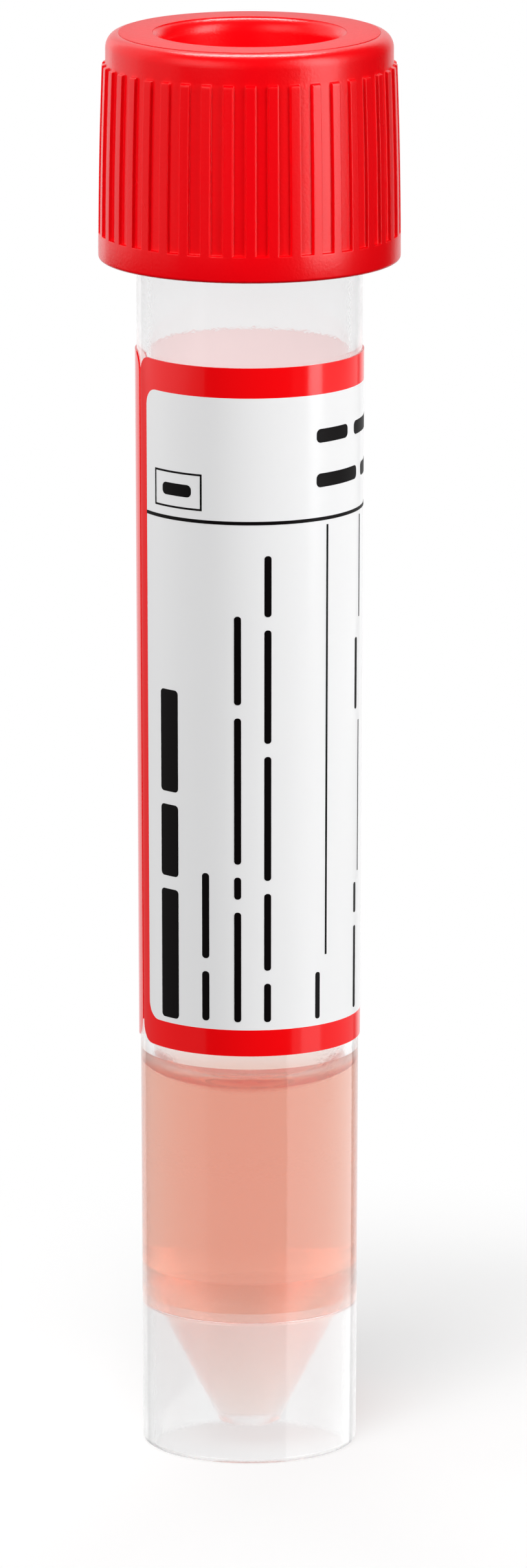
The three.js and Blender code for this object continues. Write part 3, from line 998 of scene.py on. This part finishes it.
def make_floor():
    """White sweep. Near the object a share of its tone takes the shadow, elsewhere it is white."""
    half = FLOOR_HALF_SIZE
    mesh = bpy.data.meshes.new("floor")
    mesh.from_pydata([(-half, -half, 0), (half, -half, 0), (half, half, 0), (-half, half, 0)],
                     [], [(0, 1, 2, 3)])
    floor = bpy.data.objects.new("floor", mesh)
    bpy.context.collection.objects.link(floor)
    s = Shader("white_sweep")
    place = s.add("ShaderNodeTexCoord")
    reach = s.add("ShaderNodeVectorMath", operation="LENGTH")
    near = s.add("ShaderNodeMapRange", {
        "From Min": FLOOR_SHADE_NEAR, "From Max": FLOOR_SHADE_FAR,
        "To Min": 1.0, "To Max": 0.0}, interpolation_type="SMOOTHSTEP")
    path = s.add("ShaderNodeLightPath")
    # The more clear walls it is seen through, the whiter the floor
    through = s.add("ShaderNodeMapRange", {
        "From Min": 2.0, "From Max": 4.0, "To Min": 1.0, "To Max": 0.1})
    shaded = s.add("ShaderNodeMath", operation="MULTIPLY")
    s.join(place.outputs["Object"], reach.inputs[0])
    s.join(reach.outputs["Value"], near.inputs["Value"])
    s.join(path.outputs["Transmission Depth"], through.inputs["Value"])
    s.join(near.outputs["Result"], shaded.inputs[0])
    s.join(through.outputs["Result"], shaded.inputs[1])
    paint = s.add("ShaderNodeBsdfDiffuse", {
        "Color": (FLOOR_SHADE_SHARE, FLOOR_SHADE_SHARE, FLOOR_SHADE_SHARE, 1)})
    own = s.add("ShaderNodeEmission", {"Strength": FLOOR_OWN_TONE})
    seen = straight_view(s.tree)
    in_view = s.add("ShaderNodeMixShader")
    dark = s.add("ShaderNodeEmission", {"Strength": 0.0})
    s.join(seen, in_view.inputs["Fac"])
    s.join(dark.outputs["Emission"], in_view.inputs[1])
    s.join(own.outputs["Emission"], in_view.inputs[2])
    both = s.add("ShaderNodeAddShader")
    s.join(paint.outputs["BSDF"], both.inputs[0])
    s.join(in_view.outputs["Shader"], both.inputs[1])
    far = s.add("ShaderNodeEmission", {"Strength": 1.0})
    sweep = s.add("ShaderNodeMixShader")
    s.join(shaded.outputs["Value"], sweep.inputs["Fac"])
    s.join(far.outputs["Emission"], sweep.inputs[1])
    s.join(both.outputs["Shader"], sweep.inputs[2])
    s.join(sweep.outputs["Shader"], s.output.inputs["Surface"])
    mesh.materials.append(s.material)
    floor.visible_glossy = False
    floor.visible_diffuse = False
    floor.visible_shadow = False
    return floor


def softbox(name, azimuth, elevation, distance, wide, tall, radiance, aim_z=0.05):
    """A rectangular lamp around the object, turned towards it. Its brightness is its radiance."""
    data = bpy.data.lights.new(name, "AREA")
    data.shape = "RECTANGLE"
    data.size, data.size_y = wide, tall
    data.energy = radiance * math.pi * wide * tall
    lamp = bpy.data.objects.new(name, data)
    bpy.context.collection.objects.link(lamp)
    a, e = math.radians(azimuth), math.radians(elevation)
    towards = Vector((math.sin(a) * math.cos(e), -math.cos(a) * math.cos(e), math.sin(e)))
    lamp.location = Vector((0, 0, aim_z)) + towards * distance
    lamp.rotation_mode = "QUATERNION"
    lamp.rotation_quaternion = towards.to_track_quat("Z", "Y")
    lamp.visible_camera = False
    return lamp


def gloss_panel(name, azimuth, wide, tall, radiance, aim_z):
    """An upright panel close by, to be seen in the gloss."""
    return softbox(name, azimuth, 0, GLOSS_DISTANCE, wide, tall, radiance, aim_z)


def fill(name, azimuth, elevation, wide, tall, radiance):
    """A large lamp further off."""
    return softbox(name, azimuth, elevation, FILL_DISTANCE, wide, tall, radiance)


def linked(lamps, name, pieces, state):
    """Lamps that light only the pieces (INCLUDE), or all but them (EXCLUDE)."""
    group = bpy.data.collections.new(name)
    for piece in pieces:
        group.objects.link(piece)
    for place in group.collection_objects:
        place.light_linking.link_state = state
    for lamp in lamps:
        lamp.light_linking.receiver_collection = group


def make_lights(floor, tube, cap):
    """Panels for the gloss of the label, the tube and the cap, fills for their light, and two
    lamps for the shade on the floor. The panels named table stand for light off the table."""
    label_gloss = [
        gloss_panel("left_softbox", -97, 0.864, 0.50, 0.75, 0.25),
        gloss_panel("left_table", -97, 0.864, 0.30, 0.2, -0.15),
        gloss_panel("right_strip", 69.5, 0.095, 0.48, 4.6, 0.24),
        gloss_panel("right_edge", 109.5, 0.41, 0.046, 0.8, -0.007),
        gloss_panel("right_table", 92, 0.764, 0.27, 0.5, -0.165),
        gloss_panel("right_strip_foot", 67, 0.15, 0.27, 0.85, -0.165)]
    tube_gloss = [
        gloss_panel("tube_left", -97, 0.864, 0.30, 0.3, -0.15),
        gloss_panel("tube_right", 90, 0.83, 0.245, 1.5, -0.1775)]
    cap_top = softbox("cap_top", 180, 70, 0.50, 0.36, 0.20, 13.0, aim_z=0.10)
    cap_strip = gloss_panel("cap_strip", 60, 0.19, 0.50, 3.7, 0.25)
    cap_gloss = [
        cap_top,
        gloss_panel("cap_left_back", -124, 0.37, 0.50, 0.8, 0.25),
        gloss_panel("cap_left", -77, 0.24, 0.50, 0.35, 0.25),
        cap_strip]
    for lamp in (cap_top, cap_strip):
        lamp.visible_diffuse = False
    cap_fills = [
        fill("cap_left_fill", -30, 20, 0.80, 0.80, 1.7),
        fill("cap_right_fill", 64, 18, 0.80, 0.80, 2.2)]
    fills = [
        fill("left_fill", -45, 30, 0.80, 0.80, 6.1),
        fill("right_key", 60, 25, 0.80, 0.80, 5.9)]
    shades = [
        fill("shade_lamp", -15, 62, 0.50, 0.80, SHADE_RADIANCE),
        fill("shade_sky", -90, 66, 1.10, 1.10, SKY_RADIANCE)]
    for lamp in (*label_gloss, *tube_gloss, *cap_gloss):
        lamp.visible_transmission = False
    for lamp in (*fills, *cap_fills, *shades):
        lamp.visible_glossy = False
    linked(label_gloss, "all_but_floor_tube_cap", (floor, tube, cap), "EXCLUDE")
    linked(tube_gloss, "only_the_tube", (tube,), "INCLUDE")
    linked([*cap_gloss, *cap_fills], "only_the_cap", (cap,), "INCLUDE")
    linked(fills, "all_but_the_floor", (floor,), "EXCLUDE")
    linked(shades, "only_the_floor", (floor,), "INCLUDE")


def make_camera():
    """A long lens from the front, a little above the cap."""
    data = bpy.data.cameras.new("camera")
    camera = bpy.data.objects.new("camera", data)
    bpy.context.collection.objects.link(camera)
    data.sensor_width = 36
    data.lens = CAMERA_LENS
    data.shift_x = CAMERA_SHIFT
    data.clip_end = 20
    camera.location = CAMERA_PLACE
    camera.rotation_euler = (math.pi / 2 - CAMERA_TILT, 0, 0)
    bpy.context.scene.camera = camera


# ---- Everything -----------------------------------------------------------------------------

make_camera()
make_world()
floor = make_floor()
tube = make_tube()
make_medium()
cap = make_cap()
make_label()
make_print()
make_lights(floor, tube, cap)

scene = bpy.context.scene
scene.view_settings.view_transform = "Standard"
scene.cycles.max_bounces = CLEAR_BOUNCES
scene.cycles.transmission_bounces = CLEAR_BOUNCES
scene.cycles.glossy_bounces = CLEAR_BOUNCES

bpy.context.view_layer.update()
